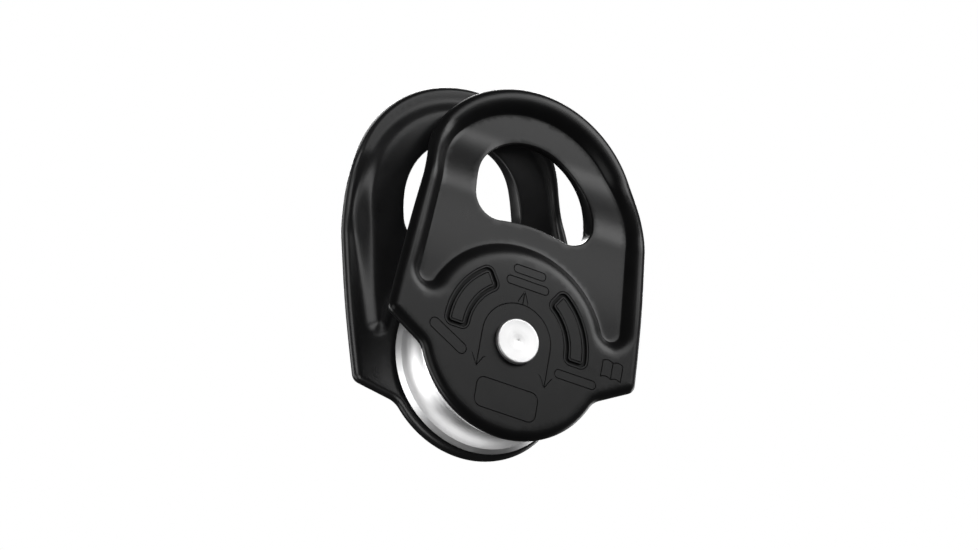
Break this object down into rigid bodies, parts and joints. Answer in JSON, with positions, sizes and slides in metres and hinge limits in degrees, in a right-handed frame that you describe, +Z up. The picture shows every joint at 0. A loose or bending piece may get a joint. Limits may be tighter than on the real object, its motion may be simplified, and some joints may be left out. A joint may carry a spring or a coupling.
{
  "type": "single sheave block",
  "caption": "Single sheave block: a ball-bearing rope wheel between two swinging black side plates whose tops lean in and carry an eye for a carabiner.",
  "frame": {"origin": "where the crowns of the two swung eyes cross on the middle plane, which is the point a carabiner holds the block by; the axle is 57.5 mm below it", "axes": "+Z up from the axle to the eyes, Y along the axle with -Y to the front plate, X to the right seen from the front"},
  "size_m": [0.0802, 0.0288, 0.1001],
  "materials": {
    "black_anodised": "satin black anodised, forged",
    "polished_aluminium": "turned and polished",
    "satin_steel": "satin",
    "bearing_steel": "ground",
    "cage_steel": "pressed",
    "ball_steel": "mirror polished",
    "seal_rubber": "matte",
    "bush_bronze": "plain bearing bronze",
    "washer_steel": "ground"
  },
  "bodies": {
    "axle_core": {"axle": "satin_steel", "front_bearing_inner_ring": "bearing_steel", "rear_bearing_inner_ring": "bearing_steel", "bearing_spacer": "washer_steel", "front_thrust_washer": "washer_steel", "rear_thrust_washer": "washer_steel"},
    "front_plate": {"front_side_plate": "black_anodised", "front_plate_bush": "bush_bronze"},
    "rear_plate": {"rear_side_plate": "black_anodised", "rear_plate_bush": "bush_bronze"},
    "sheave_wheel": {"sheave": "polished_aluminium", "front_bearing_outer_ring": "bearing_steel", "rear_bearing_outer_ring": "bearing_steel", "front_bearing_front_seal": "seal_rubber", "front_bearing_rear_seal": "seal_rubber", "rear_bearing_front_seal": "seal_rubber", "rear_bearing_rear_seal": "seal_rubber"},
    "front_ball_row": {"front_bearing_ball_cage": "cage_steel", "front_bearing_ball_1": "ball_steel", "front_bearing_ball_2": "ball_steel", "front_bearing_ball_3": "ball_steel", "front_bearing_ball_4": "ball_steel", "front_bearing_ball_5": "ball_steel", "front_bearing_ball_6": "ball_steel", "front_bearing_ball_7": "ball_steel", "front_bearing_ball_8": "ball_steel", "front_bearing_ball_9": "ball_steel"},
    "rear_ball_row": {"rear_bearing_ball_cage": "cage_steel", "rear_bearing_ball_1": "ball_steel", "rear_bearing_ball_2": "ball_steel", "rear_bearing_ball_3": "ball_steel", "rear_bearing_ball_4": "ball_steel", "rear_bearing_ball_5": "ball_steel", "rear_bearing_ball_6": "ball_steel", "rear_bearing_ball_7": "ball_steel", "rear_bearing_ball_8": "ball_steel", "rear_bearing_ball_9": "ball_steel"}
  },
  "joints": [
    {"name": "front_plate_swing", "type": "hinge", "parent": "axle_core", "child": "front_plate", "pos_m": [0, 0, -0.0567], "axis": [0, 1, 0], "continuous": true},
    {"name": "rear_plate_swing", "type": "hinge", "parent": "axle_core", "child": "rear_plate", "pos_m": [0, 0, -0.0567], "axis": [0, 1, 0], "continuous": true},
    {"name": "sheave_spin", "type": "hinge", "parent": "axle_core", "child": "sheave_wheel", "pos_m": [0, 0, -0.0567], "axis": [0, 1, 0], "continuous": true},
    {"name": "front_ball_row_spin", "type": "hinge", "parent": "axle_core", "child": "front_ball_row", "pos_m": [0, 0, -0.0567], "axis": [0, 1, 0], "continuous": true},
    {"name": "rear_ball_row_spin", "type": "hinge", "parent": "axle_core", "child": "rear_ball_row", "pos_m": [0, 0, -0.0567], "axis": [0, 1, 0], "continuous": true}
  ],
  "couplings": [
    {"joint": "front_ball_row_spin", "follows": "sheave_spin", "ratio": 0.6071},
    {"joint": "rear_ball_row_spin", "follows": "sheave_spin", "ratio": 0.6071}
  ]
}
